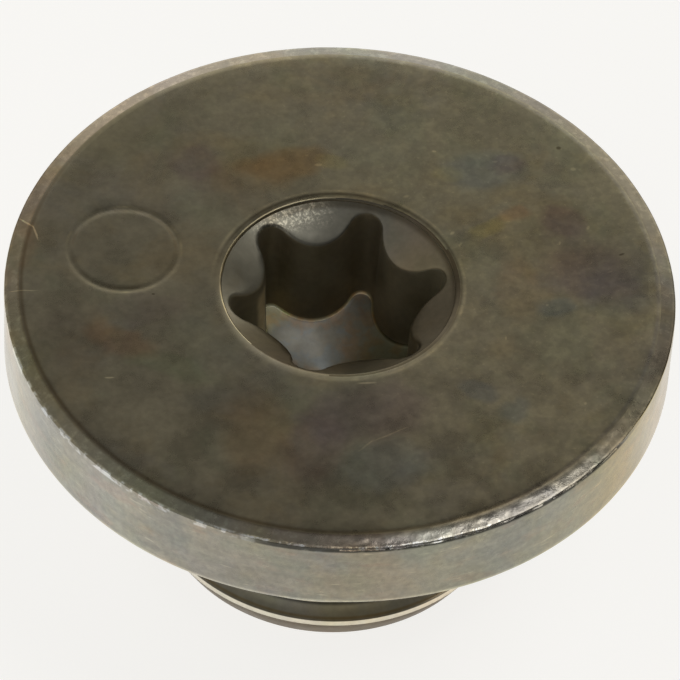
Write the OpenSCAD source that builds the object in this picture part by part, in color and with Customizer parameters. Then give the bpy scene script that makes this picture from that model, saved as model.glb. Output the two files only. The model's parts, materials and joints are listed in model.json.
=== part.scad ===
// Low drain plug in one piece: a wide disc head with a six-lobe socket, on a short screw shank.
// Millimetres. The plug stands head up on its shank end, with +Z along its axis.

/* [Head] */
// Diameter of the head
head_d = 24.5; // [20:0.1:36]
// Height of the straight side, from the seat up to the bevel
side_h = 3; // [2:0.1:6]
// Width of the flat bevel round the top, inwards from the side
bevel_w = 0.6; // [0.2:0.05:1.5]
// Rise of the bevel
bevel_h = 0.17; // [0.05:0.01:0.6]
// Radius of the rounded edge between the side and the seat
seat_edge_r = 0.25; // [0.1:0.05:0.8]

/* [Shank] */
// Outside diameter of the thread
thread_d = 14; // [11:0.1:18]
// Length of the shank, from its end to the seat
shank_l = 9.3; // [7:0.1:20]
// Length of the cone at the shank's end
end_cone_l = 1.3; // [0.4:0.1:2]
// How much the cone narrows the shank's end, on the radius
end_cone_w = 0.7; // [0.3:0.05:1.2]
// How deep the relief neck under the head is cut below the thread's crest
neck_depth = 1; // [0.5:0.1:1.5]
// Straight part of the relief neck, between its fillet and the slope up to the thread
neck_flat = 0.2; // [0.1:0.1:1.5]
// How far outside the thread's crest the flat seat begins, so that a sealing washer lies flat
seat_clear = 0.1; // [0.05:0.05:0.5]

/* [Socket] */
// Size across the tips of the six lobes
drive_a = 7.95; // [6.8:0.05:10]
// Size across the socket between the lobes
drive_b = 5.65; // [4.8:0.05:6.6]
// Radius of each lobe's tip
lobe_tip_r = 0.6; // [0.4:0.05:0.8]
// Depth of the lobes' tips below the top face
lobe_depth = 4.5; // [3:0.1:6]
// Angle across the hollow cone that closes the socket
floor_angle = 140; // [110:5:170]
// Room between the lobes' tips and the wall of the round mouth
mouth_clear = 0.28; // [0.1:0.01:0.8]
// Height of the mouth's wall, from the lead-in cone up to the lip
mouth_wall_h = 0.12; // [0.05:0.01:0.5]
// Angle across the lead-in cone that the six pads lie on
lead_angle = 118; // [90:2:150]
// Width of the shallow rounded lip round the mouth
lip_w = 0.45; // [0.2:0.05:1]
// Drop of the lip at the mouth's wall
lip_drop = 0.04; // [0.02:0.01:0.1]

/* [Hidden] */
$fn = 96;
lobes = 6;
// Cutters run this far past the faces that they open
past = 1;

head_r = head_d / 2;
thread_r = thread_d / 2;
neck_r = thread_r - neck_depth;
neck_fillet_r = neck_depth + seat_clear;
seat_z = shank_l;
rim_z = seat_z + side_h;
top_z = rim_z + bevel_h;
neck_low_z = seat_z - neck_fillet_r - neck_flat;

drive_tip = drive_a / 2;
drive_root = drive_b / 2;
mouth_r = drive_tip + mouth_clear;
lip_low_z = top_z - lip_drop;
lead_top_z = lip_low_z - mouth_wall_h;
lip_r = (lip_w * lip_w + lip_drop * lip_drop) / (2 * lip_drop);
floor_tip_z = top_z - lobe_depth;
floor_apex_z = floor_tip_z - drive_tip / tan(floor_angle / 2);

// The outline is twelve arcs that meet smoothly: a tip arc on each lobe, and between two lobes a
// root arc that bulges inwards. The root arc's radius follows from touching both tip arcs.
half_pitch = 180 / lobes;
tip_c = drive_tip - lobe_tip_r;
// A tip arc's centre, measured along and across the line from the axis through the root
tip_along = tip_c * cos(half_pitch);
tip_across = tip_c * sin(half_pitch);
root_r = (pow(drive_root - tip_along, 2) + pow(tip_across, 2) - pow(lobe_tip_r, 2))
    / (2 * (lobe_tip_r + tip_along - drive_root));
root_c = drive_root + root_r;

function polar(r, a) = [r * cos(a), r * sin(a)];

// A star through the arcs' centres crosses from tip arc to root arc where they touch
module six_lobe() {
    difference() {
        union() {
            polygon([for (i = [0 : 2 * lobes - 1]) polar(i % 2 == 0 ? tip_c : root_c, i * half_pitch)]);
            for (i = [0 : lobes - 1])
                translate(polar(tip_c, 2 * i * half_pitch)) circle(lobe_tip_r);
        }
        for (i = [0 : lobes - 1])
            translate(polar(root_c, (2 * i + 1) * half_pitch)) circle(root_r);
    }
}

// Half section of the plug: x is the distance from the axis, y the height
module plug_section() {
    difference() {
        polygon([
            [0, 0],
            [thread_r - end_cone_w, 0],
            [thread_r, end_cone_l],
            [thread_r, neck_low_z - neck_depth],
            [neck_r, neck_low_z],
            [neck_r, seat_z],
            [head_r, seat_z],
            [head_r, rim_z],
            [head_r - bevel_w, top_z],
            [0, top_z]
        ]);
        seat_edge_cut();
    }
    neck_fillet();
}

module seat_edge_cut() {
    translate([head_r - seat_edge_r, seat_z + seat_edge_r])
        difference() {
            translate([0, -seat_edge_r - past]) square(seat_edge_r + past);
            circle(seat_edge_r);
        }
}

module neck_fillet() {
    translate([neck_r, seat_z - neck_fillet_r])
        difference() {
            square(neck_fillet_r);
            translate([neck_fillet_r, 0]) circle(neck_fillet_r);
        }
}

// Lip, wall and lead-in cone of the mouth, as one round cutter
module mouth() {
    rotate_extrude() {
        polygon([
            [0, lead_top_z - mouth_r / tan(lead_angle / 2)],
            [mouth_r, lead_top_z],
            [mouth_r, top_z + past],
            [0, top_z + past]
        ]);
        lip_cut();
    }
}

// What the lip's arc leaves open, between the mouth's wall and the flat top
module lip_cut() {
    difference() {
        translate([0, lip_low_z]) square([mouth_r + lip_w, lip_drop + past]);
        translate([mouth_r + lip_w, top_z - lip_r]) circle(lip_r);
    }
}

// The six lobes, closed below by a hollow cone
module drive() {
    intersection() {
        translate([0, 0, floor_apex_z])
            linear_extrude(height = top_z - floor_apex_z) six_lobe();
        rotate_extrude()
            polygon([
                [0, floor_apex_z],
                [drive_tip + past, floor_tip_z + past / tan(floor_angle / 2)],
                [drive_tip + past, top_z + past],
                [0, top_z + past]
            ]);
    }
}

module plug() {
    color([0.35, 0.34, 0.28])
        difference() {
            rotate_extrude() plug_section();
            mouth();
            drive();
        }
}

plug();
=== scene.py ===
import json
from math import atan2, cos, degrees, hypot, pi, radians, sin, sqrt, tan

import bmesh
import bpy
from mathutils import Matrix, Vector, noise


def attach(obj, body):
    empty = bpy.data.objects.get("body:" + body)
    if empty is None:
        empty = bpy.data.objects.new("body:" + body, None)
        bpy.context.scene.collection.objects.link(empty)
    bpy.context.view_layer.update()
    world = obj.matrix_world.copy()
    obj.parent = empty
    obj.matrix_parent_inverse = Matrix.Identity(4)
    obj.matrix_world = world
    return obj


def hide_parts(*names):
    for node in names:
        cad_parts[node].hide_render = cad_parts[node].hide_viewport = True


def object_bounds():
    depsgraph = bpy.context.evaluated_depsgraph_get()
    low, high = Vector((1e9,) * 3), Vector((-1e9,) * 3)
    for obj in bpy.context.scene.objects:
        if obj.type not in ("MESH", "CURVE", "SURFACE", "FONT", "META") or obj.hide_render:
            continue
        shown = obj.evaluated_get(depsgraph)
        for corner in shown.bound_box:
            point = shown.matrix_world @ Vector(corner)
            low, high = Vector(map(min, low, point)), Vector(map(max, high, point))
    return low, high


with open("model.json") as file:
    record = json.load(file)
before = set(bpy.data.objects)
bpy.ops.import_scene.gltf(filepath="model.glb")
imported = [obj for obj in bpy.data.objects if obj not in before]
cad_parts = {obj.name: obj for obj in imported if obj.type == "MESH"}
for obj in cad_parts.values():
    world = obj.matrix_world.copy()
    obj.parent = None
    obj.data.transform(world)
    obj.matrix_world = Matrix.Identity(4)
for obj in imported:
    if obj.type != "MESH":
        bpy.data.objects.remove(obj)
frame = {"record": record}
cadLow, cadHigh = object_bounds()
mounts = {mount["name"]: mount for mount in frame["record"]["mounts"]}
print("frame loaded")

mm = 0.001
columns = 480            # steps round the plug
mergeGap = 0.0005 * mm   # points nearer than this are one
hair = 0.001             # less than any feature, in millimetres
smoothUnder = 32         # edges that turn by less, in degrees, are shaded smooth

# Where the picture was taken from. Azimuths are the picture's, except where a note says otherwise:
# 0 to the right, 90 away, 180 to the left, -90 to the camera.
picture = {
    "turn": -15.2,           # of the picture's right, from the plug's +X
    "elevation": 48.73,
    "roll": 3.395,
    "aimZ": 12.3,            # height of the point on the axis that the camera stands back from
    "distance": 208.25,
    "right": -0.0153,        # and its place aside from there
    "up": -1.880,
    "lens": 302.5,
    "clipStart": 10,
}

# Sizes in millimetres, angles in degrees. Radii are from the plug's axis, heights from the floor.
head = {
    "radius": cadHigh.x / mm,
    "topZ": cadHigh.z / mm,
    "seatZ": mounts["seat"]["pos_m"][2] / mm,
    "bevelW": 0.6,
    "bevelH": 0.17,
    "rimRound": 0.06,        # edge between the side and the bevel
    "rimBand": 0.2,          # the side has closer rings this far below the rim
    "crownRound": 1.4,       # soft edge between the bevel and the flat top
    "seatEdgeR": 0.08,
    "lipW": 0.45,            # shallow lip round the mouth of the socket
    "lipDrop": 0.04,
    "mouthRound": 0.1,
    "mouthRoundFrom": 112,   # where the lip goes over into that edge; 180 is the wall
}
head["rimZ"] = head["topZ"] - head["bevelH"]
head["flatR"] = head["radius"] - head["bevelW"]

shank = {
    "crestR": 6.95,
    "endR": 6.27,
    "endConeL": 1.3,
    "endRound": 0.24,
    "neckR": 6.0,
    "neckFilletR": 1.1,
    "neckFlat": 0.2,
}
shank["neckLowZ"] = head["seatZ"] - shank["neckFilletR"] - shank["neckFlat"]

socket = {
    "mouthR": 4.255,
    "wallFootZ": 12.31,
    "acrossTips": 7.95,
    "acrossRoots": 5.65,
    "tipR": 0.6,
    "leadAngle": 118,        # cone that the six pads lie on
    "edgeR": 0.1,            # rounding between the pads and the walls
    "topGrow": 0.03,         # the walls lean: wider by this at their top
    "footGrow": -0.11,       # and narrower at their foot
    "footR": 0.14,
    "tipFloorZ": 7.97,
    "floorAngle": 140,
    "apexRound": 0.5,
    "offCentre": (-0.064, 0.069),
    "lowZ": 6,               # nothing of the socket lies lower
    "padLowZ": 11,           # and nothing of the pads lower than this
    "rings": {               # how far along each part its rings of points lie
        "pad": (0.12, 0.3, 0.55, 0.8, 1),
        "edge": (0.4, 0.7, 1),
        "wall": (0.06, 0.3, 0.5, 0.7, 0.94, 1),
        "foot": (0.25, 0.5, 0.75, 1),
        "floor": (0.08, 0.25, 0.45, 0.65, 0.8, 0.9, 0.96),
    },
}


def arc(centreR, centreZ, radius, start, end, steps):
    # points of a rounded edge; 0 degrees is outwards, 90 upwards
    turns = [radians(start + (end - start) * i / steps) for i in range(steps + 1)]
    return [(centreR + radius * cos(a), centreZ + radius * sin(a)) for a in turns]


def lineTo(section, end, steps=1):
    # goes on from the section's last point to end
    start = section[-1]
    section += [
        tuple(a + (b - a) * i / steps for a, b in zip(start, end)) for i in range(1, steps + 1)
    ]


def smooth(t):
    t = min(max(t, 0), 1)
    return t * t * (3 - 2 * t)


def editMesh():
    return bmesh.from_edit_mesh(bpy.context.object.data)


def drawSection(name, points, closed=False):
    # a plane merged to one vertex, extruded from point to point; it stays in edit mode
    bpy.ops.object.select_all(action="DESELECT")
    bpy.ops.mesh.primitive_plane_add(size=mm, location=(0, 0, 0))
    bpy.context.object.name = name
    bpy.ops.object.mode_set(mode="EDIT")
    bpy.ops.mesh.select_mode(type="VERT")
    bpy.ops.mesh.merge(type="CENTER")
    bpy.ops.transform.translate(value=(points[0][0] * mm, 0, points[0][1] * mm))
    for (r, z), (nextR, nextZ) in zip(points, points[1:] + points[:1] * closed):
        step = ((nextR - r) * mm, 0, (nextZ - z) * mm)
        bpy.ops.mesh.extrude_vertices_move(TRANSFORM_OT_translate={"value": step})
    return bpy.context.object


def closeMesh():
    bpy.ops.mesh.select_all(action="SELECT")
    bpy.ops.mesh.remove_doubles(threshold=mergeGap)
    bpy.ops.mesh.select_all(action="SELECT")
    bpy.ops.mesh.normals_make_consistent(inside=False)


def wind(piece, turns=1, rise=0):
    # turns the section round the axis, rising as it goes; it comes back in edit mode
    bpy.ops.object.mode_set(mode="OBJECT")
    screw = piece.modifiers.new("turns", "SCREW")
    screw.angle = 2 * pi * turns
    screw.screw_offset = rise * mm
    screw.steps = screw.render_steps = round(columns * turns)
    bpy.ops.object.modifier_apply(modifier="turns")
    bpy.ops.object.mode_set(mode="EDIT")


def takeAway(piece, tool):
    bpy.ops.object.select_all(action="DESELECT")
    bpy.context.view_layer.objects.active = piece
    cut = piece.modifiers.new("cut", "BOOLEAN")
    cut.operation = "DIFFERENCE"
    cut.solver = "MANIFOLD"
    cut.object = tool
    bpy.ops.object.modifier_apply(modifier="cut")
    bpy.data.objects.remove(tool)


def plugSection():
    p, s = head, shank
    bevelTilt = degrees(atan2(p["bevelH"], p["bevelW"]))
    coneTilt = degrees(atan2(s["crestR"] - s["endR"], s["endConeL"]))

    # end face, rounded into the end cone
    section = [(0, 0)]
    endR, endRound = s["endR"], s["endRound"]
    endCut = endRound * tan(radians((90 - coneTilt) / 2))
    lineTo(section, (endR - endCut, 0), 3)
    section += arc(endR - endCut, endRound, endRound, -90, -coneTilt, 4)[1:]
    lineTo(section, (s["crestR"], s["endConeL"]), 2)

    # thread cylinder, slope to the relief neck, fillet and seat
    lineTo(section, (s["crestR"], s["neckLowZ"] - s["crestR"] + s["neckR"]), 4)
    lineTo(section, (s["neckR"], s["neckLowZ"]), 3)
    lineTo(section, (s["neckR"], p["seatZ"] - s["neckFilletR"]))
    filletR = s["neckFilletR"]
    section += arc(s["neckR"] + filletR, p["seatZ"] - filletR, filletR, 180, 90, 10)[1:]
    seatEdge = p["radius"] - p["seatEdgeR"]
    lineTo(section, (seatEdge, p["seatZ"]), 5)
    section += arc(seatEdge, p["seatZ"] + p["seatEdgeR"], p["seatEdgeR"], -90, 0, 8)[1:]

    # side, rounded rim, bevel and crown
    rimCut = p["rimRound"] * tan(radians((90 - bevelTilt) / 2))
    edgeZ, crownZ = p["rimZ"] - rimCut, p["topZ"] - p["crownRound"]
    edge = arc(p["radius"] - p["rimRound"], edgeZ, p["rimRound"], 0, 90 - bevelTilt, 4)
    lineTo(section, (p["radius"], edgeZ - p["rimBand"]), 7)
    lineTo(section, edge[0], 5)
    section += edge[1:]
    crownCut = p["crownRound"] * tan(radians(bevelTilt / 2))
    crown = arc(p["flatR"] - crownCut, crownZ, p["crownRound"], 90 - bevelTilt, 90, 3)
    lineTo(section, crown[0], 6)
    section += crown[1:]

    # flat top, lip, rounded edge and wall of the mouth
    lipR = socket["mouthR"] + p["lipW"]
    lineTo(section, (lipR, p["topZ"]), 13)
    lipArcR = (p["lipW"] ** 2 + p["lipDrop"] ** 2) / (2 * p["lipDrop"])
    lipTurn = degrees((p["lipW"] - p["mouthRound"]) / lipArcR)
    section += arc(lipR, p["topZ"] - lipArcR, lipArcR, 90, 90 + lipTurn, 5)[1:]
    mouthRound, wallTopZ = p["mouthRound"], section[-1][1] - p["mouthRound"]
    section += arc(socket["mouthR"] + mouthRound, wallTopZ, mouthRound, p["mouthRoundFrom"], 180, 3)
    lineTo(section, (socket["mouthR"], socket["wallFootZ"]))
    return section


def lobeRadius(angle, grow):
    # radius of the six-lobe outline, grown outwards: tip arcs and root arcs that touch
    tipR = socket["tipR"]
    tipC = socket["acrossTips"] / 2 - tipR
    rootEdge = socket["acrossRoots"] / 2
    halfPitch = pi / 6
    along, across = tipC * cos(halfPitch), tipC * sin(halfPitch)
    rootR = ((rootEdge - along) ** 2 + across ** 2 - tipR ** 2) / (2 * (tipR + along - rootEdge))
    rootC = rootEdge + rootR
    tipR, rootR = tipR + grow, rootR - grow
    toRoot = Vector((rootC * cos(halfPitch) - tipC, rootC * sin(halfPitch))).normalized()
    meetAt = atan2(tipR * toRoot.y, tipC + tipR * toRoot.x)
    fromTip = abs((angle + halfPitch) % (2 * halfPitch) - halfPitch)
    if fromTip < meetAt:
        return tipC * cos(fromTip) + sqrt(tipR ** 2 - (tipC * sin(fromTip)) ** 2)
    fromRoot = halfPitch - fromTip
    return rootC * cos(fromRoot) - sqrt(rootR ** 2 - (rootC * sin(fromRoot)) ** 2)


def leadZ(r):
    # height of the lead-in cone that the pads lie on
    return socket["wallFootZ"] - (socket["mouthR"] - r) / tan(radians(socket["leadAngle"] / 2))


def floorZ(r):
    # height of the hollow cone at the bottom, with a soft apex
    slope = 1 / tan(radians(socket["floorAngle"] / 2))
    tipR, soft = socket["acrossTips"] / 2, socket["apexRound"]
    rise = sqrt(r * r + soft * soft) - sqrt(tipR * tipR + soft * soft)
    return socket["tipFloorZ"] + slope * rise


def socketPoint(part, t, angle):
    # radius and height at an angle on one ring, t of the way along its part
    s = socket
    if part == "pad":
        outline = lobeRadius(angle, s["topGrow"] + s["edgeR"])
        r = s["mouthR"] + (outline - s["mouthR"]) * t
        return r, leadZ(r)
    if part == "edge":
        r = lobeRadius(angle, s["topGrow"] + s["edgeR"] * (1 - sin(t * pi / 2)))
        return r, leadZ(r) - s["edgeR"] * (1 - cos(t * pi / 2))
    if part == "wall":
        highZ = leadZ(lobeRadius(angle, s["topGrow"])) - s["edgeR"]
        lowZ = floorZ(lobeRadius(angle, s["footGrow"])) + s["footR"]
        r = lobeRadius(angle, s["topGrow"] + (s["footGrow"] - s["topGrow"]) * t)
        return r, highZ + (lowZ - highZ) * t
    if part == "foot":
        r = lobeRadius(angle, s["footGrow"] - s["footR"] * (1 - cos(t * pi / 2)))
        return r, floorZ(r) + s["footR"] * (1 - sin(t * pi / 2))
    r = lobeRadius(angle, s["footGrow"] - s["footR"]) * (1 - t)
    return r, floorZ(r)


def pressSocket():
    # the open ring at the mouth's foot is extruded again and again, each ring put in its place
    bpy.ops.mesh.select_all(action="DESELECT")
    bpy.ops.mesh.select_mode(type="EDGE")
    bpy.ops.mesh.select_non_manifold(extend=False)
    for part, t in [(part, t) for part, steps in socket["rings"].items() for t in steps]:
        bpy.ops.mesh.extrude_edges_move()
        for v in editMesh().verts:
            if v.select:
                angle = atan2(v.co.y, v.co.x)
                r, z = socketPoint(part, t, angle)
                v.co = Vector((r * cos(angle), r * sin(angle), z)) * mm
    bpy.ops.mesh.merge(type="CENTER")
    # the whole socket sits a little off the axis
    shift = Vector((*socket["offCentre"], 0)) * mm
    lipR, mouthR = socket["mouthR"] + head["lipW"], socket["mouthR"]
    for v in editMesh().verts:
        r = hypot(v.co.x, v.co.y) / mm
        if r < lipR and v.co.z > socket["lowZ"] * mm:
            v.co += shift * smooth((lipR - r) / (lipR - mouthR))


spot = {                     # blank round spot on the top
    "radius": 8.07,
    "azimuth": 156.6,        # from the plug's own +X
    "size": 2.0,
    "grooveW": 0.17,
    "grooveDepth": 0.017,
    "depth": 0.007,
    "surround": 0.6,
    "margin": 0.3,           # finer mesh this far past the surround
    "cuts": 6,
    "longEdge": 0.1,         # only edges that run out by more are cut
}


def pressSpot():
    # finer edges along the radius where the spot lies, then its surround is sunk
    middle = Vector((spot["radius"], 0, head["topZ"])) * mm
    middle.rotate(Matrix.Rotation(radians(spot["azimuth"]), 3, "Z"))
    reach = (spot["size"] + spot["surround"] + spot["margin"]) * mm
    topZ = (head["topZ"] - hair) * mm
    bpy.ops.mesh.select_all(action="DESELECT")
    for e in editMesh().edges:
        a, b = e.verts[0].co, e.verts[1].co
        if min(a.z, b.z) > topZ and ((a + b) / 2 - middle).length < reach:
            e.select = abs(a.length - b.length) > spot["longEdge"] * mm
    bpy.ops.mesh.subdivide(number_cuts=spot["cuts"])
    for v in editMesh().verts:
        if v.co.z > topZ:
            d = (v.co - middle).length / mm
            groove = 1 - smooth(abs(d - spot["size"]) / spot["grooveW"])
            sunk = 1 - smooth((d - spot["size"]) / spot["surround"])
            v.co.z -= (spot["grooveDepth"] * groove + spot["depth"] * sunk) * mm


rim = {                      # wear on the rim
    "dent": 0.018,           # uneven all round
    "dentReach": 0.35,       # above and below the rim
    "sink": 0.45,            # a dent also lowers the bevel, by this share
    "wornAt": -60,           # hammered by handling here, with a burr and a groove under it
    "wornHalf": 20,
    "wornFade": 14,
    "wornDent": 0.05,
    "wornFrom": (11.72, 11.95),      # radii between which the wear sets in
    "grooveDepth": 0.07,
    "grooveZ": -0.07,        # below the bevel's lower edge
    "grooveW": 0.07,
    "reach": 0.4,            # no wear further below the rim
    "silver": (-60, 14, 14),         # silvery stretch of the bevel, wear and a painted reflection: azimuth, half width, fade
    "rimGrooveShadow": (-66, 32, 10),      # painted shadow in the groove on the side below it, the same
    "glint": (-125, 32, 20),         # bright broken line, the same
    "bevelLine": (-130, 45, 70),     # dark line where the bevel begins, the same
}


def roughenRim():
    # small dents in the rim and bevel, inwards only; deeper at the worn place, a groove under it
    rimZ = head["rimZ"]
    middle = radians(rim["wornAt"] + picture["turn"])
    for v in editMesh().verts:
        r, z = hypot(v.co.x, v.co.y) / mm, v.co.z / mm
        if r < head["flatR"] or z < rimZ - rim["reach"]:
            continue
        aside = abs((atan2(v.co.y, v.co.x) - middle + pi) % (2 * pi) - pi)
        worn = 1 - smooth((degrees(aside) - rim["wornHalf"]) / rim["wornFade"])
        at = v.co / mm
        # noise in waves of about 1, 0.3 and 0.2 mm
        coarse = 0.5 + 0.5 * noise.noise(at * 1.1) + 0.3 * noise.noise(at * 3.1)
        fine = 0.5 + 0.6 * noise.noise(at * 5.3 + Vector((9, 4, 0)))
        nearRim = smooth(1 - abs(z - rimZ) / rim["dentReach"])
        dent = rim["dent"] * max(coarse, 0) * nearRim
        dent += rim["wornDent"] * max(fine, 0) * worn * nearRim
        groove = 1 - smooth(abs(z - rimZ - rim["grooveZ"]) / rim["grooveW"])
        dent += rim["grooveDepth"] * groove * worn * max(coarse + 0.3 * fine, 0)
        v.co.x *= 1 - dent / r
        v.co.y *= 1 - dent / r
        if z > rimZ:
            v.co.z -= rim["sink"] * dent * mm


thread = {
    "pitch": 1.5,
    "rootR": 6.08,
    "rootRound": 0.19,
    "flankAngle": 30,
    "crestFlat": 0.19,
    "crestBreak": 0.05,      # small break of the crest's edges
    "grooveZ": 2.025,        # middle of the lowest groove where it faces the camera
    "grooveAt": -105.2,      # azimuth of that place, from the plug's own +X
    "startTurn": -0.95,      # turns from there to the two ends of the groove
    "endTurn": 4.0,
    "collarZ": 1.54,         # the plain collar below the first groove ends here
    "past": 0.4,             # the cutter runs this far past the crest
}


def cutThread(piece):
    # one long groove, wound by a screw modifier
    t = thread
    half = (t["pitch"] - t["crestFlat"]) / 2
    crestR, flankAngle = shank["crestR"], radians(t["flankAngle"])
    slope = tan(flankAngle)
    outR = crestR + t["past"]
    flankR = t["rootR"] + t["rootRound"] * (1 - sin(flankAngle))
    flankZ = t["rootRound"] * cos(flankAngle)
    rootFrom, rootTo = 90 + t["flankAngle"], 270 - t["flankAngle"]
    root = arc(t["rootR"] + t["rootRound"], 0, t["rootRound"], rootFrom, rootTo, 6)
    breakR = crestR - t["crestBreak"]
    upper = [(outR, half + t["crestBreak"] / 2), (crestR, half + t["crestBreak"] / 2)]
    flank = [(breakR, flankZ + (breakR - flankR) * slope)]
    section = upper + flank + root + [(r, -z) for r, z in flank + upper[::-1]]

    startAt = radians(t["grooveAt"] + 360 * t["startTurn"])
    turns = t["endTurn"] - t["startTurn"]
    groove = drawSection("groove", section, closed=True)
    bpy.ops.mesh.select_all(action="SELECT")
    bpy.ops.mesh.remove_doubles(threshold=mergeGap)
    bpy.ops.transform.rotate(value=-startAt, orient_axis="Z", center_override=(0, 0, 0))
    bpy.ops.transform.translate(value=(0, 0, (t["grooveZ"] + t["pitch"] * t["startTurn"]) * mm))
    wind(groove, turns, t["pitch"] * turns)
    bpy.ops.mesh.select_all(action="DESELECT")
    bpy.ops.mesh.select_mode(type="EDGE")
    bpy.ops.mesh.select_non_manifold(extend=False)
    bpy.ops.mesh.edge_face_add()
    closeMesh()
    bpy.ops.object.mode_set(mode="OBJECT")

    # a blunt cone is taken off the groove, so the plain collar at the shank's end stays whole;
    # it runs well past the groove on every side
    keepR, keepInnerR, keepLowZ = outR + 0.5, 5, -3
    keepTop = [(r, t["collarZ"] + (crestR - r) * slope) for r in (keepR, keepInnerR)]
    outline = [(0, keepLowZ), (keepR, keepLowZ)] + keepTop + [(0, keepTop[1][1])]
    keep = drawSection("collarKeep", outline)
    wind(keep)
    closeMesh()
    bpy.ops.object.mode_set(mode="OBJECT")
    takeAway(groove, keep)
    takeAway(piece, groove)

    # the cut leaves slivers along its edges
    bpy.ops.object.mode_set(mode="EDIT")
    closeMesh()
    bpy.ops.mesh.dissolve_degenerate(threshold=mergeGap)
    bpy.ops.mesh.select_all(action="SELECT")
    bpy.ops.mesh.delete_loose()
    bpy.ops.object.mode_set(mode="OBJECT")


# The plug: spun from its half section, socket and spot pressed in, thread cut
plug = drawSection("plugSteel", plugSection())
wind(plug)
closeMesh()
print("head and shank spun")
pressSocket()
print("socket pressed")
pressSpot()
roughenRim()
closeMesh()
bpy.ops.object.mode_set(mode="OBJECT")
cutThread(plug)
print("thread cut:", len(plug.data.polygons), "faces")
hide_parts("plug")
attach(plug, "root")

bpy.ops.object.select_all(action="DESELECT")
plug.select_set(True)
bpy.context.view_layer.objects.active = plug
bpy.ops.object.shade_smooth_by_angle(angle=radians(smoothUnder))


# Materials. Patterns are laid in millimetres of the plug's own space.
def link(node, index, value):
    if isinstance(value, bpy.types.NodeSocket):
        node.id_data.links.new(value, node.inputs[index])
    elif isinstance(value, tuple) and node.inputs[index].type == "RGBA":
        node.inputs[index].default_value = (*value, 1)
    else:
        node.inputs[index].default_value = value


def calculate(operation, *values):
    tree = next(v for v in values if isinstance(v, bpy.types.NodeSocket)).id_data
    node = tree.nodes.new("ShaderNodeMath")
    node.operation = operation
    for i, value in enumerate(values):
        link(node, i, value)
    return node.outputs[0]


def spread(value, low, high, toLow=0.0, toHigh=1.0):
    # a soft step: toLow below low, toHigh above high
    node = value.id_data.nodes.new("ShaderNodeMapRange")
    node.interpolation_type = "SMOOTHSTEP"
    for i, number in enumerate((value, low, high, toLow, toHigh)):
        link(node, i, number)
    return node.outputs[0]


def multiply(amount, first, second):
    # two colours multiplied, by as much as amount
    inputs = (amount, first, second)
    tree = next(v for v in inputs if isinstance(v, bpy.types.NodeSocket)).id_data
    node = tree.nodes.new("ShaderNodeMix")
    node.data_type = "RGBA"
    node.blend_type = "MULTIPLY"
    for i, value in zip((0, 6, 7), inputs):
        link(node, i, value)
    return node.outputs[2]


def place(space, move=(0, 0, 0), scale=(1, 1, 1), turn=0):
    # the same space moved, stretched, or turned about the plug's axis
    node = space.id_data.nodes.new("ShaderNodeMapping")
    link(node, 0, space)
    node.inputs["Location"].default_value = move
    node.inputs["Rotation"].default_value = (0, 0, radians(turn))
    node.inputs["Scale"].default_value = scale
    return node.outputs[0]


def cloud(space, size, seed, detail=3, rough=0.55, warp=0.0, flat=1):
    # noise with blotches about as wide as size, in millimetres; flat squeezes them along the axis
    node = space.id_data.nodes.new("ShaderNodeTexNoise")
    link(node, "Vector", place(space, (seed * 13.7, seed * 7.3, seed * 3.1), (1, 1, flat)))
    node.inputs["Scale"].default_value = 0.5 / size
    node.inputs["Detail"].default_value = detail
    node.inputs["Roughness"].default_value = rough
    node.inputs["Distortion"].default_value = warp
    return node.outputs["Fac"]


def patches(space, size, seed, detail, rough, low, high, least=0.0, flat=1):
    # 1 where that noise is above high, least where it is below low
    return spread(cloud(space, size, seed, detail, rough, 0.0, flat), low, high, least)


def waver(space, size, amount, seed):
    # the same space, pushed about sideways by noise
    node = space.id_data.nodes.new("ShaderNodeTexNoise")
    link(node, "Vector", place(space, (seed * 4.1, seed * 8.3, seed * 6.7)))
    node.inputs["Scale"].default_value = 0.5 / size
    push = space.id_data.nodes.new("ShaderNodeVectorMath")
    push.operation = "MULTIPLY_ADD"
    link(push, 0, node.outputs["Color"])
    link(push, 1, (amount, amount, 0.0))
    link(push, 2, place(space, (-amount / 2, -amount / 2, 0)))
    return push.outputs[0]


def measure(space, operation="LENGTH", other=None):
    node = space.id_data.nodes.new("ShaderNodeVectorMath")
    node.operation = operation
    link(node, 0, space)
    if other is not None:
        link(node, 1, other)
    return node.outputs["Vector" if operation == "NORMALIZE" else "Value"]


def fleck(space, x, y, halfWidth, halfLength, turn):
    # a soft-edged patch or stroke, x to the right and y away from the camera
    soft = 0.4
    node = space.id_data.nodes.new("ShaderNodeMapping")
    node.vector_type = "TEXTURE"
    link(node, 0, space)
    node.inputs["Location"].default_value = (x, y, 0)
    node.inputs["Rotation"].default_value = (0, 0, radians(turn))
    node.inputs["Scale"].default_value = (halfWidth, halfLength, 1)
    return spread(measure(node.outputs[0]), 1 - soft, 1 + soft, 1.0, 0.0)


def ring(radius, at, width):
    away = calculate("ABSOLUTE", calculate("SUBTRACT", radius, at))
    return spread(away, 0.0, width, 1.0, 0.0)


def facing(heading, azimuth, half, fade):
    # 1 on the side of the plug that faces the azimuth, 0 past half and fade
    towards = (cos(radians(azimuth)), sin(radians(azimuth)), 0.0)
    outer, inner = cos(radians(min(half + fade, 180))), cos(radians(half))
    return spread(measure(heading, "DOT_PRODUCT", towards), outer, inner)


def tint(paint, mask, hue, strength=1.0):
    # multiplies the colour by hue under the mask
    if strength != 1:
        mask = calculate("MULTIPLY", mask, strength)
    paint["colour"] = multiply(mask, paint["colour"], hue)


def times(*values):
    product = values[0]
    for value in values[1:]:
        product = calculate("MULTIPLY", product, value)
    return product


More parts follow.
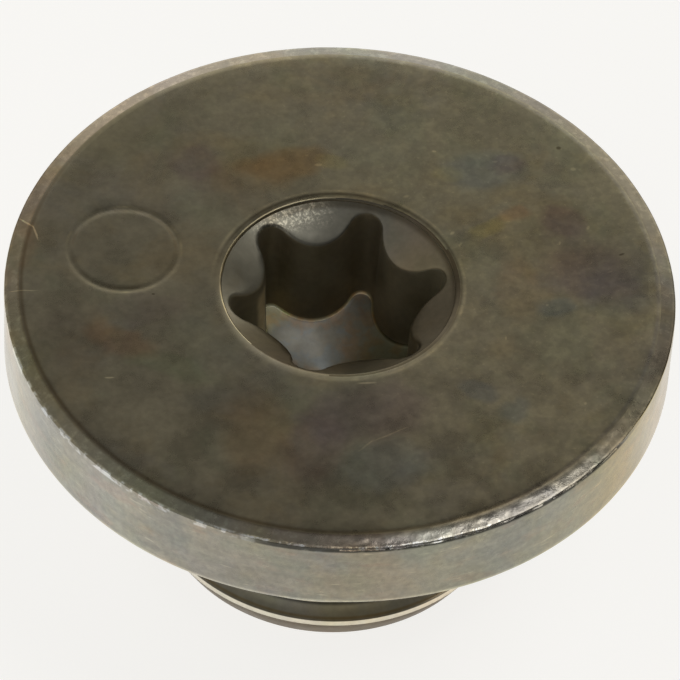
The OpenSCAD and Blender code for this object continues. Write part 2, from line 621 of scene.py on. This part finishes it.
hues = {                     # what a stain does to the steel's colour
    "brown": (1.02, 0.86, 0.70),
    "rust": (1.16, 0.92, 0.80),
    "violet": (0.84, 0.76, 0.90),
    "blue": (0.80, 0.90, 1.12),
    "grey": (0.86, 0.90, 1.00),
    "olive": (0.92, 0.92, 0.76),
    "green": (0.88, 1.00, 0.88),
    "yellow": (1.30, 1.26, 0.90),
    "dark": (0.76, 0.72, 0.74),
    "pale": (1.16, 1.16, 1.14),
}

# Stains on the top: right, away, half width, half length, turn, hue, strength
stains = [
    (-2.2, 6.0, 1.5, 0.8, 12, "brown", 0.9),
    (-5.6, 5.8, 1.0, 1.1, 0, "violet", 0.7),
    (-4.6, 4.3, 1.5, 1.1, -30, "dark", 0.55),
    (-3.4, 5.4, 1.9, 1.0, 20, "brown", 0.4),
    (-0.6, 6.0, 0.7, 0.35, 0, "yellow", 0.5),
    (3.8, 5.7, 0.6, 0.4, 30, "yellow", 0.4),
    (5.2, 6.1, 1.5, 1.0, 20, "blue", 0.8),
    (5.9, 6.6, 0.7, 0.5, 0, "violet", 0.7),
    (5.3, 3.1, 0.8, 0.35, 35, "yellow", 0.7),
    (6.2, 3.9, 0.5, 0.3, 20, "rust", 0.6),
    (8.0, 3.6, 0.8, 0.8, 0, "violet", 0.9),
    (9.0, 1.4, 1.7, 1.5, 20, "violet", 0.8),
    (9.9, 0.6, 1.1, 1.4, -10, "blue", 0.45),
    (7.9, -0.7, 0.6, 0.5, 0, "blue", 0.7),
    (6.6, 0.4, 0.9, 1.7, 10, "rust", 0.45),
    (5.2, -4.6, 0.5, 0.45, 0, "blue", 0.6),
    (6.4, -5.4, 0.6, 0.5, 0, "blue", 0.6),
    (1.2, -6.1, 2.3, 1.3, 18, "violet", 0.75),
    (1.9, -8.4, 1.7, 1.0, 25, "blue", 0.6),
    (-0.5, -7.7, 1.2, 1.6, -20, "violet", 0.7),
    (-2.8, -7.2, 1.2, 1.8, 10, "brown", 0.6),
    (-1.6, -9.2, 2.0, 1.0, 0, "dark", 0.3),
    (-3.8, -5.9, 1.2, 0.8, 0, "grey", 0.6),
    (-7.8, -3.3, 1.3, 0.7, -25, "rust", 0.7),
    (-6.0, -4.4, 1.3, 0.6, -15, "green", 0.6),
    (-9.6, -3.4, 1.6, 1.2, -60, "dark", 0.45),
    (-7.4, -1.6, 1.5, 0.7, 10, "violet", 0.35),
    (-5.9, -7.7, 1.7, 1.2, -40, "pale", 0.35),
    (7.4, -5.8, 2.6, 2.0, 40, "pale", 0.5),
    (7.9, 3.3, 1.0, 1.0, 20, "dark", 0.45),
    (9.2, 1.5, 1.4, 1.1, 10, "dark", 0.3),
    (-11.6, 1.0, 0.5, 1.2, 0, "rust", 0.5),
    (-8.3, 7.0, 2.2, 1.2, 40, "olive", 0.4),
    (11.3, 0.6, 0.16, 1.1, -4, "pale", 1.0),
    (11.1, -1.6, 0.2, 0.5, 10, "pale", 0.8),
]

# Scratches and specks, laid the same way, the last number how bright; then dark pits
scratches = [
    (-11.64, 2.22, 0.36, 0.036, -42, 2.1),
    (-11.27, 1.70, 0.34, 0.034, -71, 2.3),
    (-11.5, -1.15, 0.5, 0.026, 2, 1.7),      # the first three run on over the bevel
    (-8.07, -5.08, 0.16, 0.035, 5, 1.9),
    (1.15, -4.62, 0.30, 0.045, 8, 1.9),
    (2.1, -6.95, 0.75, 0.035, 32, 1.35),
    (1.25, -7.55, 0.35, 0.035, 50, 1.3),
    (-1.1, 5.92, 0.14, 0.07, 10, 1.5),
    (8.36, 6.47, 0.10, 0.08, 0, 1.5),
    (2.22, 4.6, 0.11, 0.06, 25, 1.4),
    (8.97, 3.56, 0.05, 0.10, -20, 1.4),
    (3.98, 2.9, 0.06, 0.11, -35, 1.5),
    (3.18, 6.96, 0.08, 0.05, 0, 1.5),
    (5.47, 6.61, 0.08, 0.05, 15, 1.3),
    (7.95, 2.72, 0.04, 0.08, 0, 1.4),
    (7.54, -0.37, 0.06, 0.05, 0, 1.4),
    (9.82, 1.45, 0.10, 0.04, 30, 1.35),
    (4.28, 2.35, 0.05, 0.09, -30, 1.4),
    (9.01, -4.98, 0.05, 0.06, 0, 1.4),
    (6.09, -2.09, 0.03, 0.09, 0, 1.4),
]
pits = [
    (7.81, 7.50, 0.09, 0.08, 0),
    (10.23, 2.34, 0.11, 0.045, 30),
    (-6.77, -0.96, 0.06, 0.04, 0),
]

# Finishes: reflectance, roughness, strength of the mottling, height of the grain, oil film,
# how much of it is bare metal, and shine of the rest
finishes = {
    "top": ((0.313, 0.276, 0.190), 0.30, 0.5, 0.0006, 0.1, 1, 0.5),
    "bevel": ((0.385, 0.345, 0.250), 0.28, 0.7, 0.003, 0.2, 1, 0.5),
    "side": ((0.315, 0.292, 0.232), 0.24, 0.6, 0.0012, 0.5, 1, 0.5),
    "under": ((0.17, 0.16, 0.135), 0.45, 0.8, 0.003, 0.1, 1, 0.5),
    "thread": ((0.36, 0.33, 0.27), 0.32, 0.5, 0.0015, 0.2, 1, 0.5),
    # the end cone is dark and brown as a painted shade, for the shadow under the plug that it
    # mirrors
    "cone": ((0.18, 0.14, 0.09), 0.5, 0.6, 0.0015, 0.0, 0.3, 0.25),
    "pads": ((0.31, 0.29, 0.235), 0.38, 0.5, 0.003, 0.1, 1, 0.5),
    "walls": ((0.46, 0.41, 0.30), 0.55, 0.4, 0.003, 0.0, 1, 0.5),
    "hollow": ((0.235, 0.225, 0.19), 0.42, 0.5, 0.002, 0.1, 1, 0.5),
}
finishes["foot"] = finishes["hollow"]

# What all the finishes share
steel = {
    "mottles": [             # hue, size, seed
        ((1.10, 0.97, 0.78), 1.9, 1),
        ((0.94, 0.96, 1.12), 2.3, 2),
        ((0.92, 1.02, 0.98), 1.5, 3),
    ],
    "shade": 0.11,           # broad light and dark, as a share of the colour
    "speckle": 0.12,         # fine light and dark, the same
    "smoother": 0.05,        # the roughness goes down and up by these from place to place
    "rougher": 0.06,
    "oilRough": 0.22,
}

# Light and shade painted round the plug, and some shifts of hue: azimuth, half width, fade, hue
paintedLightAndHues = {
    "top": [(-35, 20, 30, (1.06, 1.04, 1.05))],
    "bevel": [
        (178, 36, 40, (1.36, 1.22, 1.12)),
        (24, 30, 24, (0.78, 0.76, 0.74)),
        (-21, 6, 10, (1.38, 1.32, 1.26)),
        (-138, 24, 22, (0.89, 1.0, 1.0)),
        (-94, 12, 14, (0.93, 0.89, 1.0)),
        (100, 30, 30, (1.03, 1.06, 1.18)),
    ],
    # painted reflections on the side: darker at the front, lighter at the left end, warm at the
    # right
    "side": [
        (-76, 18, 34, (0.77, 0.77, 0.79)),
        (176, 16, 24, (1.35, 1.25, 1.12)),
        (-5, 20, 24, (1.02, 0.80, 0.34)),
        (-48, 14, 18, (0.97, 1.0, 0.90)),
        (-152, 10, 14, (0.88, 0.90, 0.89)),
    ],
    "pads": [                # painted reflection, cold grey, at the upper left; painted shade, brown and dark, at the lower right
        (150, 60, 40, (1.1, 1.1, 1.06)),
        (-50, 80, 60, (0.82, 0.73, 0.60)),
        (180, 14, 20, (1.33, 1.33, 1.3)),
        (-128, 16, 20, (0.76, 0.74, 0.66)),
        (-70, 20, 24, (0.70, 0.70, 0.64)),
        (42, 16, 16, (1.28, 1.24, 1.2)),
        (95, 25, 30, (0.72, 0.74, 0.78)),
    ],
    # painted shade on the walls at the right
    "walls": [(-29, 5, 5, (0.58, 0.54, 0.46))],
    # painted light at the left of the hollow, painted shade at its right
    "hollow": [
        (180, 50, 50, (0.92, 0.98, 1.08)),
        (-20, 60, 50, (0.56, 0.57, 0.41)),
    ],
}
# the rounded foot also gets a painted highlight at the upper left
paintedLightAndHues["foot"] = paintedLightAndHues["hollow"] + [(140, 60, 40, (3.4, 3.2, 2.7))]

# Blotches: size, seed, detail, roughness and limits of the noise, how flat, hue, strength
blotches = {
    "side": [
        (0.1, 46, 2, 0.6, 0.35, 0.65, 1, (1.12, 1.12, 1.1), 1),
        (1.1, 41, 4, 0.6, 0.35, 0.65, 7, (1.14, 1.13, 1.12), 1),         # streaks
        (0.45, 42, 2, 0.5, 0.66, 0.74, 9, (1.5, 1.48, 1.42), 0.8),       # bright dashes
        (1.6, 43, 4, 0.6, 0.50, 0.66, 1.6, (0.87, 0.90, 0.96), 1),
        (0.9, 44, 4, 0.6, 0.54, 0.68, 2.5, (1.05, 0.96, 0.94), 1),
    ],
    "hollow": [
        (0.5, 61, 3, 0.6, 0.48, 0.6, 1, (1.12, 0.93, 0.80), 1),
        (0.35, 62, 3, 0.6, 0.5, 0.62, 1, (0.92, 1.0, 1.12), 1),
    ],
}
blotches["foot"] = blotches["hollow"]

# How lines are broken up: size, seed, detail, roughness and limits of the noise, least
breaks = {
    "scuffs": (0.2, 23, 3, 0.7, 0.5, 0.68),
    "mouthEdge": (0.5, 24, 3, 0.55, 0.3, 0.5, 0.3),
    "mouthRings": (0.35, 25, 3, 0.55, 0.35, 0.6, 0.25),
    "glint": (0.25, 32, 2, 0.6, 0.47, 0.60),
    "rimEdge": (0.4, 33, 3, 0.55, 0.35, 0.6, 0.3),
}

# Lines: radius, half width, stretch (azimuth, half width, fade; None is all round), hue,
# strength, how it is broken up
lines = {
    "top": [
        (11.62, 0.13, rim["bevelLine"], (0.62, 0.55, 0.48), 0.8, None),
        (11.55, 0.3, (35, 60, 30), (1.22, 1.24, 1.24), 1, "scuffs"),
        (11.6, 0.14, (20, 60, 30), (0.9, 0.91, 1.02), 1, None),
    ],
    "mouth": [               # from the mouth's own middle: a painted highlight on its near edge, then faint rings
        (4.30, 0.06, (-130, 62, 40), (3.0, 2.85, 2.5), 1, "mouthEdge"),
        (4.37, 0.07, (10, 80, 50), (1.6, 1.55, 1.45), 1, "mouthRings"),
        (4.62, 0.10, (40, 110, 60), (1.4, 1.37, 1.3), 1, "mouthRings"),
        (4.49, 0.08, (60, 80, 40), (0.72, 0.69, 0.66), 1, None),
    ],
    "bevel": [
        (12.25, 0.07, (60, 80, 40), (0.55, 0.54, 0.56), 1, None),
        (11.68, 0.13, rim["bevelLine"], (0.58, 0.52, 0.46), 0.9, None),
        (12.21, 0.08, rim["glint"], (2.2, 2.4, 3.0), 1, "glint"),
        (12.17, 0.07, None, (1.35, 1.33, 1.3), 1, "rimEdge"),
    ],
}


def breakUp(paint, kind):
    # one noise serves all the lines that are broken up the same way
    if kind not in paint:
        paint[kind] = patches(paint["space"], *breaks[kind])
    return paint[kind]


def drawLines(paint, radius, rows):
    for at, width, stretch, hue, strength, kind in rows:
        mask = ring(radius, at, width)
        if stretch:
            mask = times(mask, facing(paint["heading"], *stretch))
        if kind:
            mask = times(mask, breakUp(paint, kind))
        tint(paint, mask, hue, strength)


def scratch(paint, strokes):
    shaky = waver(paint["plan"], 0.3, 0.07, 26)
    for x, y, halfWidth, halfLength, turn, bright in strokes:
        mask = fleck(shaky, x, y, halfWidth, halfLength, turn)
        tint(paint, mask, (bright, bright * 0.98, bright * 0.92))


def markTop(paint):
    plan, space = paint["plan"], paint["space"]
    drifted = waver(waver(plan, 1.3, 1.7, 21), 0.35, 0.5, 22)
    for x, y, halfWidth, halfLength, turn, hue, strength in stains:
        tint(paint, fleck(drifted, x, y, halfWidth, halfLength, turn), hues[hue], strength)
    # painted light: lighter towards the right and the back
    toBack = measure(plan, "DOT_PRODUCT", (0.93, 0.37, 0.0))
    tint(paint, spread(toBack, -9.0, 8.0), (1.2, 1.2, 1.14))
    # lip of the mouth
    middle = Matrix.Rotation(radians(-picture["turn"]), 2) @ Vector(socket["offCentre"])
    drawLines(paint, measure(plan, "DISTANCE", (*middle, 0.0)), lines["mouth"])
    # ring round the blank spot, pale outside and dark inside
    at = radians(spot["azimuth"] - picture["turn"])
    away = measure(plan, "DISTANCE", (spot["radius"] * cos(at), spot["radius"] * sin(at), 0.0))
    patchy = patches(space, 0.8, 29, 3, 0.55, 0.42, 0.6)
    outside = times(ring(away, spot["size"] + 0.1, 0.09), breakUp(paint, "mouthRings"), patchy)
    tint(paint, outside, (1.35, 1.32, 1.2))
    tint(paint, times(ring(away, spot["size"] - 0.1, 0.1), patchy), (0.82, 0.78, 0.74))
    scratch(paint, scratches)
    for x, y, halfWidth, halfLength, turn in pits:
        tint(paint, fleck(plan, x, y, halfWidth, halfLength, turn), (0.5, 0.48, 0.45))
    # tiny pale specks, thicker to the right and the back
    specks = patches(space, 0.07, 27, 1, 0.5, 0.66, 0.74)
    tint(paint, times(specks, spread(toBack, -6.0, 5.0, 0.35)), (1.5, 1.5, 1.42), 0.35)
    curdled = patches(space, 0.22, 28, 3, 0.65, 0.42, 0.62)
    tint(paint, times(curdled, spread(toBack, -7.0, 5.0, 0.25)), (1.14, 1.14, 1.10))


def markBevel(paint):
    radius, heading, space = paint["radius"], paint["heading"], paint["space"]
    # wear and a painted reflection at one place: silvery and crumbly towards the rim
    worn = times(facing(heading, *rim["silver"]), spread(radius, *rim["wornFrom"]))
    crumbs = cloud(space, 0.13, 31, 3, 0.75, 0.5, 0.3)
    tint(paint, worn, (1.38, 1.44, 1.68))
    tint(paint, times(worn, spread(crumbs, 0.52, 0.64)), (1.38, 1.37, 1.36))
    tint(paint, times(worn, spread(crumbs, 0.34, 0.46, 1.0, 0.0)), (0.84, 0.83, 0.81))
    # painted glints: bright crumbs on the rim at the front
    front = times(ring(radius, 12.18, 0.09), facing(heading, -82, 14, 12))
    tint(paint, times(front, spread(crumbs, 0.5, 0.6)), (2.4, 2.4, 2.3))
    scuffed = patches(space, 0.16, 34, 3, 0.7, 0.5, 0.66)
    tint(paint, times(scuffed, facing(heading, 50, 80, 40)), (1.3, 1.3, 1.27))
    tint(paint, times(scuffed, facing(heading, -130, 45, 40)), (1.22, 1.25, 1.25))
    scratch(paint, scratches[:3])
    hammered = times(worn, calculate("ADD", crumbs, cloud(space, 0.35, 35)), 0.012)
    paint["height"] = calculate("ADD", paint["height"], hammered)


def markSide(paint):
    heading, height = paint["heading"], paint["z"]
    # painted highlight along the lower edge
    seatZ, rimZ = head["seatZ"], head["rimZ"]
    tint(paint, spread(height, seatZ + 0.06, seatZ + 0.2, 1.0, 0.0), (1.8, 1.8, 1.75))
    # painted shadow in the groove under the place of wear on the rim, painted glint in a bright
    # broken line at the left
    nearRim = spread(height, rimZ - 0.25, rimZ - 0.16)
    ragged = patches(paint["space"], 0.3, 45, 3, 0.6, 0.3, 0.44)
    rimGrooveShadow = times(nearRim, facing(heading, *rim["rimGrooveShadow"]), ragged)
    tint(paint, rimGrooveShadow, (0.14, 0.14, 0.13))
    glint = times(nearRim, facing(heading, *rim["glint"]), breakUp(paint, "glint"))
    tint(paint, glint, (1.8, 1.9, 2.2))


def markThread(paint):
    radius, height = paint["radius"], paint["z"]
    # painted shade in the grooves, brown line above the plain collar, painted highlights on the
    # collar and the crests
    threadRootShade = spread(radius, 6.36, 6.48, 1.0, 0.0)
    aboveCollar = spread(height, 1.55, 1.6)
    brownLine = times(ring(height, 1.60, 0.05), spread(height, 1.54, 1.56))
    collar = times(spread(height, 1.5, 1.56, 1.0, 0.0), spread(height, 1.12, 1.3))
    crestHighlights = times(spread(radius, 6.88, 6.93), spread(height, 1.9, 2.0))
    tint(paint, threadRootShade, (0.32, 0.33, 0.34))
    tint(paint, aboveCollar, (1.17, 1.21, 1.24))
    tint(paint, brownLine, (0.80, 0.68, 0.50))
    tint(paint, collar, (2.1, 2.1, 2.08))
    tint(paint, crestHighlights, (1.5, 1.48, 1.4))


def markPads(paint):
    radius, heading, space = paint["radius"], paint["heading"], paint["space"]
    # painted shade under the far edge of the mouth, painted sparkle of reflections at the upper
    # left
    farEdgeShade = times(spread(radius, 4.0, 4.2), facing(heading, 62, 50, 30))
    tint(paint, farEdgeShade, (0.55, 0.52, 0.48))
    sparkleHighlight = times(spread(radius, 3.35, 3.95), facing(heading, 119, 9, 18))
    crumbs = cloud(space, 0.06, 51, 3, 0.7)
    tint(paint, sparkleHighlight, (1.2, 1.2, 1.2))
    tint(paint, times(sparkleHighlight, spread(crumbs, 0.45, 0.68)), (2.6, 2.55, 2.5))
    rubbed = times(sparkleHighlight, calculate("ADD", crumbs, cloud(space, 0.2, 52)), 0.008)
    paint["height"] = calculate("ADD", paint["height"], rubbed)


def markWalls(paint):
    # light caught low on the bulge at the left
    low = spread(paint["z"], 10.8, 11.3, 1.0, 0.0)
    tint(paint, times(facing(paint["heading"], 166, 3, 7), low), (2.1, 2.05, 1.85))


def markHollow(paint):
    # painted highlight, warm, at the end of the upper left lobe
    hollowHighlight = times(facing(paint["heading"], 138, 8, 12), spread(paint["radius"], 2.9, 3.5))
    tint(paint, hollowHighlight, (1.9, 1.8, 1.35))


marks = {                    # what else is on a finish
    "top": markTop,
    "bevel": markBevel,
    "side": markSide,
    "thread": markThread,
    "pads": markPads,
    "walls": markWalls,
    "hollow": markHollow,
    "foot": markHollow,
}


def darkSteel(zone):
    colour, rough, mottle, grain, oil, metal, shine = finishes[zone]
    material = bpy.data.materials.new("darkSteel." + zone)
    material.use_nodes = True
    tree = material.node_tree
    shader = tree.nodes["Principled BSDF"]
    coordinates = tree.nodes.new("ShaderNodeTexCoord").outputs["Object"]
    space = place(coordinates, scale=(1000, 1000, 1000))
    plan = place(coordinates, scale=(1000, 1000, 0), turn=-picture["turn"])
    split = tree.nodes.new("ShaderNodeSeparateXYZ")
    link(split, 0, space)
    paint = {
        "space": space,
        "plan": plan,        # x to the right, y away from the camera
        "z": split.outputs[2],
        "radius": measure(plan),
        "heading": measure(plan, "NORMALIZE"),
        "colour": colour,
    }

    # mottled hues, broad light and dark, fine speckle
    for hue, size, seed in steel["mottles"]:
        patch = spread(cloud(space, size, seed, 4, 0.6, 0.4), 0.46, 0.68, 0.0, mottle)
        paint["colour"] = multiply(patch, paint["colour"], hue)
    broad, fine = steel["shade"] * mottle, steel["speckle"] * mottle
    shade = spread(cloud(space, 2.4, 4, 4, 0.55, 0.3), 0.3, 0.7, 1 - broad, 1 + broad)
    speckle = spread(cloud(space, 0.14, 5, 2, 0.6), 0.3, 0.7, 1 - fine, 1 + fine)
    value = times(shade, speckle)
    grey = tree.nodes.new("ShaderNodeCombineColor")
    for i in range(3):
        link(grey, i, value)
    paint["colour"] = multiply(1.0, paint["colour"], grey.outputs[0])
    bumps = calculate("ADD", cloud(space, 0.11, 7, 2, 0.5), cloud(space, 0.5, 8, 3, 0.5))
    paint["height"] = calculate("MULTIPLY", bumps, grain)

    # light and shade painted round the plug, and shifts of hue
    for azimuth, half, fade, hue in paintedLightAndHues.get(zone, []):
        tint(paint, facing(paint["heading"], azimuth, half, fade), hue)
    for size, seed, detail, noisy, low, high, flat, hue, strength in blotches.get(zone, []):
        tint(paint, patches(space, size, seed, detail, noisy, low, high, 0.0, flat), hue, strength)
    drawLines(paint, paint["radius"], lines.get(zone, []))
    if zone in marks:
        marks[zone](paint)

    link(shader, "Base Color", paint["colour"])
    link(shader, "Metallic", metal)
    link(shader, "Specular IOR Level", shine)
    link(shader, "Coat Weight", oil)
    link(shader, "Coat Roughness", steel["oilRough"])
    smoothest, roughest = rough - steel["smoother"], rough + steel["rougher"]
    link(shader, "Roughness", spread(cloud(space, 0.8, 6, 4, 0.6), 0.3, 0.7, smoothest, roughest))
    bump = tree.nodes.new("ShaderNodeBump")
    link(bump, "Strength", 1)
    link(bump, "Distance", mm)
    link(bump, "Height", paint["height"])
    link(shader, "Normal", bump.outputs[0])
    return material


# Slopes that part the surfaces: how far up a face's normal points, from -1 to 1
slopes = {
    "wall": 0.3,             # in the socket, below this
    "floor": 0.85,           # in the socket, above this; between the two is the rounded foot
    "side": 0.5,             # on the head, below this
    "cone": (-0.95, -0.1),
    "flank": (0.8, 0.93),    # of the thread, up or down
}


def zoneOf(face):
    # which surface a face belongs to, by its place and slope
    r = hypot(face.center.x, face.center.y) / mm
    z, up = face.center.z / mm, face.normal.z
    if z > socket["lowZ"] and r < socket["mouthR"] + head["mouthRound"]:
        if up < slopes["wall"]:
            return "walls"
        if z > socket["padLowZ"]:
            return "pads"
        return "hollow" if up > slopes["floor"] else "foot"
    if z > head["seatZ"] + head["seatEdgeR"]:
        if up < slopes["side"]:
            return "side"
        return "bevel" if r > head["flatR"] else "top"
    if z > shank["neckLowZ"]:
        return "side" if r > head["radius"] - head["seatEdgeR"] else "under"
    low, high = slopes["cone"]
    return "cone" if z < shank["endConeL"] and low < up < high else "thread"


zones = list(finishes)
plug.data.materials.clear()
for zone in zones:
    plug.data.materials.append(darkSteel(zone))
steepest, flattest = slopes["flank"]
for face in plug.data.polygons:
    zone = zoneOf(face)
    face.material_index = zones.index(zone)
    if zone == "thread" and steepest < abs(face.normal.z) < flattest:
        face.use_smooth = False      # flanks stay crisp between root and crest
print("finishes put on")


def placeCamera():
    p = picture
    turn = (
        Matrix.Rotation(radians(p["turn"]), 3, "Z")
        @ Matrix.Rotation(radians(90 - p["elevation"]), 3, "X")
        @ Matrix.Rotation(radians(p["roll"]), 3, "Z")
    )
    at = Vector((0, 0, p["aimZ"])) + turn @ Vector((p["right"], p["up"], p["distance"]))
    bpy.ops.object.camera_add(location=at * mm, rotation=turn.to_euler())
    bpy.context.scene.camera = bpy.context.object
    bpy.context.object.data.lens = p["lens"]
    bpy.context.object.data.clip_start = p["clipStart"] * mm


placeCamera()

# Studio: a pale glowing floor, a wall light low behind, a soft key light high on the right and a
# dim fill on the left
studio = {
    "floorR": 1.0,
    "floorColour": (0.32, 0.318, 0.31),
    "floorRough": 0.9,
    "floorShine": 0.1,
    "floorGlow": 0.82,
    "glowColour": (1.0, 0.99, 0.965),
    "wall": {"azimuth": 83, "strength": 0.82, "half": 17, "fade": 23, "top": 31, "topFade": 20},
    "key": {"azimuth": 1, "elevation": 63.5, "strength": 1.36, "half": 16, "fade": 5},
    "fill": {"azimuth": 208, "elevation": 14, "strength": 0.33, "half": 24, "fade": 80},
    "dim": 0.04,             # light from everywhere else
    "air": (1.0, 0.985, 0.95),
}


def lightSpot(direction, light):
    # strength of a round soft light, seen along direction
    azimuth, elevation = radians(light["azimuth"]), radians(light["elevation"])
    half, fade = radians(light["half"]), radians(light["fade"])
    level = cos(elevation)
    towards = (level * cos(azimuth), level * sin(azimuth), sin(elevation))
    near = measure(direction, "DOT_PRODUCT", towards)
    return spread(near, cos(half + fade), cos(half), 0.0, light["strength"])


def wallGlow(direction, wall):
    # strength of an upright strip of light, brightest near the floor
    parts = direction.id_data.nodes.new("ShaderNodeSeparateXYZ")
    link(parts, 0, direction)
    x, y, z = parts.outputs
    wallAt = radians(90 - wall["azimuth"])
    aside = calculate("ABSOLUTE", calculate("SUBTRACT", calculate("ARCTAN2", x, y), wallAt))
    half, fade, top, topFade = (radians(wall[key]) for key in ("half", "fade", "top", "topFade"))
    across = spread(aside, half, half + fade, 1.0, 0.0)
    up = spread(calculate("ARCSINE", z), top, top + topFade, 1.0, 0.0)
    return calculate("MULTIPLY", calculate("MULTIPLY", across, up), wall["strength"])


def buildStudio():
    s = studio
    bpy.ops.mesh.primitive_circle_add(vertices=96, radius=s["floorR"], fill_type="NGON")
    floor = bpy.context.object
    floor.name = "floor"
    paper = bpy.data.materials.new("palePaper")
    paper.use_nodes = True
    shader = paper.node_tree.nodes["Principled BSDF"]
    link(shader, "Base Color", s["floorColour"])
    link(shader, "Roughness", s["floorRough"])
    link(shader, "Specular IOR Level", s["floorShine"])
    link(shader, "Emission Color", s["glowColour"])
    link(shader, "Emission Strength", s["floorGlow"])
    floor.data.materials.append(paper)

    world = bpy.data.worlds.new("studio")
    bpy.context.scene.world = world
    world.use_nodes = True
    tree = world.node_tree
    seen = tree.nodes.new("ShaderNodeTexCoord").outputs["Generated"]
    direction = place(seen, turn=-picture["turn"])
    strength = calculate("ADD", wallGlow(direction, s["wall"]), s["dim"])
    for light in (s["key"], s["fill"]):
        strength = calculate("ADD", strength, lightSpot(direction, light))
    link(tree.nodes["Background"], "Color", s["air"])
    link(tree.nodes["Background"], "Strength", strength)


buildStudio()
bpy.context.scene.view_settings.view_transform = "Standard"
print("studio ready")
